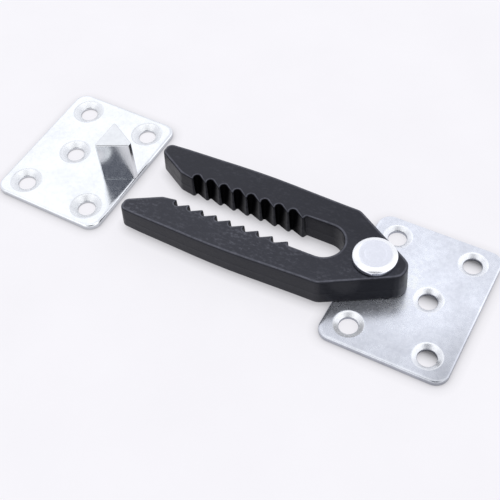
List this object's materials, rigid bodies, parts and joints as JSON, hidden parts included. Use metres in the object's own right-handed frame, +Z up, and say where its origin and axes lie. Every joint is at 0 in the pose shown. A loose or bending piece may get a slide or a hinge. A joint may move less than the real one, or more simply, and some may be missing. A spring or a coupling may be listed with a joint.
{
  "type": "sectional furniture connector",
  "caption": "Sectional sofa connector: a screw-on plate with a swinging toothed fork latch on a shouldered rivet, and a matching plate with an upright wedge-shaped prong.",
  "frame": {"origin": "centre of the receiver plate's underside", "axes": "+X along the latch, from the receiver plate to the mouth and on to the striker; +Y across it; +Z up, away from the surface that the plates are screwed to"},
  "size_m": [0.1907, 0.0651, 0.0211],
  "materials": {
    "receiver_zinc": "zinc plated, satin",
    "striker_zinc": "zinc plated, satin",
    "rivet_steel": "zinc plated, smooth",
    "prong_steel": "zinc plated, smooth",
    "moulded_plastic": "charcoal, satin mould texture"
  },
  "bodies": {
    "receiver": {"receiver_plate": "receiver_zinc", "pivot_rivet": "rivet_steel"},
    "latch": {"latch_fork": "moulded_plastic"},
    "striker": {"striker_plate": "striker_zinc", "striker_prong": "prong_steel"}
  },
  "joints": [
    {"name": "latch_swing", "type": "hinge", "parent": "receiver", "child": "latch", "pos_m": [0.0148, 0, 0], "axis": [0, 0, 1], "continuous": true},
    {"name": "striker_slide", "type": "slide", "parent": "receiver", "child": "striker", "axis": [-0.9892, 0.1468, 0], "range_m": [0, 0.0294]}
  ]
}
